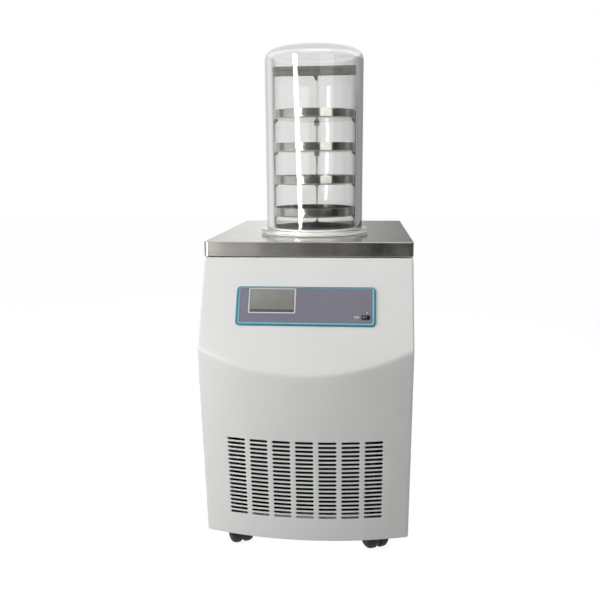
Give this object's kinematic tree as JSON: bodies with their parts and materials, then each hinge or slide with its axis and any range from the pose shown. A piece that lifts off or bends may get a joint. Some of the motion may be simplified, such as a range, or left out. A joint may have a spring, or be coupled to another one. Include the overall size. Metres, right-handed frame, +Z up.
{
  "type": "freeze dryer",
  "caption": "Floor-standing laboratory freeze dryer: painted cabinet on castors, steel worktop over a cold trap, clear bell jar over a tray rack.",
  "frame": {"origin": "on the floor under the middle of the bounding box", "axes": "+Z up, the front with the control panel towards -Y, +X to the right seen from the front"},
  "size_m": [0.402, 0.635, 1.048],
  "materials": {
    "paint": "smooth off-white paint, satin",
    "polished_steel": "stainless sheet with a fine polish",
    "steel": "stainless steel, satin",
    "zinc_steel": "zinc plated sheet steel",
    "clear_acrylic": "clear acrylic, polished",
    "silicone": "white translucent silicone",
    "teal_plastic": "teal surround, satin",
    "violet_film": "violet grey printed film",
    "screen": "grey display window",
    "lamp": "clear indicator lens",
    "black_plastic": "black moulded plastic",
    "black_enamel": "black enamel",
    "copper": "copper tube",
    "foam": "moulded insulating foam",
    "circuit_board": "green circuit board",
    "aluminium_fins": "finned aluminium block",
    "castor_tread": "black nylon"
  },
  "bodies": {
    "cabinet": {"front_panel": "paint", "left_side_panel": "paint", "right_side_panel": "paint", "rear_panel": "paint", "base_pan": "zinc_steel", "frame_post_front_left": "zinc_steel", "frame_post_front_right": "zinc_steel", "frame_post_rear_left": "zinc_steel", "frame_post_rear_right": "zinc_steel", "top_frame": "zinc_steel", "worktop": "polished_steel", "cold_trap": "steel", "evaporator_coil": "copper", "trap_insulation": "foam", "seal_ring": "silicone", "bell_jar": "clear_acrylic", "rack_base_disc": "steel", "rack_upright_back": "steel", "rack_upright_left": "steel", "rack_upright_right": "steel", "rack_top_bar": "steel", "tray_1": "steel", "tray_2": "steel", "tray_3": "steel", "tray_4": "steel", "control_surround": "teal_plastic", "control_membrane": "violet_film", "screen_glass": "screen", "display_module": "black_plastic", "switch_housing": "black_plastic", "power_lamp": "lamp", "control_board": "circuit_board", "condenser": "aluminium_fins", "fan_shroud": "black_plastic", "fan_motor": "black_plastic", "compressor": "black_enamel", "filter_drier": "copper", "discharge_line": "copper", "liquid_line": "copper", "capillary_line": "copper", "suction_line": "copper", "vacuum_pipe": "steel", "power_inlet": "black_plastic", "drain_tube": "silicone", "drain_cock_body": "polished_steel", "caster_plate_front_left": "zinc_steel", "caster_plate_front_right": "zinc_steel", "caster_plate_rear_left": "zinc_steel", "caster_plate_rear_right": "zinc_steel"},
    "fan": {"fan_rotor": "black_plastic"},
    "rocker": {"switch_rocker": "black_plastic"},
    "drain_lever": {"drain_cock_lever": "black_plastic"},
    "caster_swivel_front_left": {"caster_hood_front_left": "black_plastic"},
    "caster_rollers_front_left": {"caster_wheels_front_left": "castor_tread"},
    "caster_swivel_front_right": {"caster_hood_front_right": "black_plastic"},
    "caster_rollers_front_right": {"caster_wheels_front_right": "castor_tread"},
    "caster_swivel_rear_left": {"caster_hood_rear_left": "black_plastic"},
    "caster_rollers_rear_left": {"caster_wheels_rear_left": "castor_tread"},
    "caster_swivel_rear_right": {"caster_hood_rear_right": "black_plastic"},
    "caster_rollers_rear_right": {"caster_wheels_rear_right": "castor_tread"}
  },
  "joints": [
    {"name": "fan_spin", "type": "hinge", "parent": "cabinet", "child": "fan", "pos_m": [0, -0.16922, 0.2153], "axis": [0, 1, 0], "continuous": true},
    {"name": "power_rocker", "type": "hinge", "parent": "cabinet", "child": "rocker", "pos_m": [0.112, -0.26059, 0.5248], "axis": [0, 0.4799, 0.8773], "range_deg": [0, 16]},
    {"name": "drain_cock_turn", "type": "hinge", "parent": "cabinet", "child": "drain_lever", "pos_m": [-0.06, 0.30676, 0.21], "axis": [0, 1, 0], "range_deg": [0, 90]},
    {"name": "caster_turn_front_left", "type": "hinge", "parent": "cabinet", "child": "caster_swivel_front_left", "pos_m": [-0.1445, -0.17152, 0.07], "axis": [0, 0, 1], "continuous": true},
    {"name": "caster_roll_front_left", "type": "hinge", "parent": "caster_swivel_front_left", "child": "caster_rollers_front_left", "pos_m": [-0.15255, -0.15158, 0.03], "axis": [-0.9272, -0.3746, 0], "continuous": true},
    {"name": "caster_turn_front_right", "type": "hinge", "parent": "cabinet", "child": "caster_swivel_front_right", "pos_m": [0.1445, -0.17152, 0.07], "axis": [0, 0, 1], "continuous": true},
    {"name": "caster_roll_front_right", "type": "hinge", "parent": "caster_swivel_front_right", "child": "caster_rollers_front_right", "pos_m": [0.13645, -0.15158, 0.03], "axis": [-0.9272, -0.3746, 0], "continuous": true},
    {"name": "caster_turn_rear_left", "type": "hinge", "parent": "cabinet", "child": "caster_swivel_rear_left", "pos_m": [-0.1445, 0.23348, 0.07], "axis": [0, 0, 1], "continuous": true},
    {"name": "caster_roll_rear_left", "type": "hinge", "parent": "caster_swivel_rear_left", "child": "caster_rollers_rear_left", "pos_m": [-0.15255, 0.25342, 0.03], "axis": [-0.9272, -0.3746, 0], "continuous": true},
    {"name": "caster_turn_rear_right", "type": "hinge", "parent": "cabinet", "child": "caster_swivel_rear_right", "pos_m": [0.1445, 0.23348, 0.07], "axis": [0, 0, 1], "continuous": true},
    {"name": "caster_roll_rear_right", "type": "hinge", "parent": "caster_swivel_rear_right", "child": "caster_rollers_rear_right", "pos_m": [0.13645, 0.25342, 0.03], "axis": [-0.9272, -0.3746, 0], "continuous": true}
  ]
}
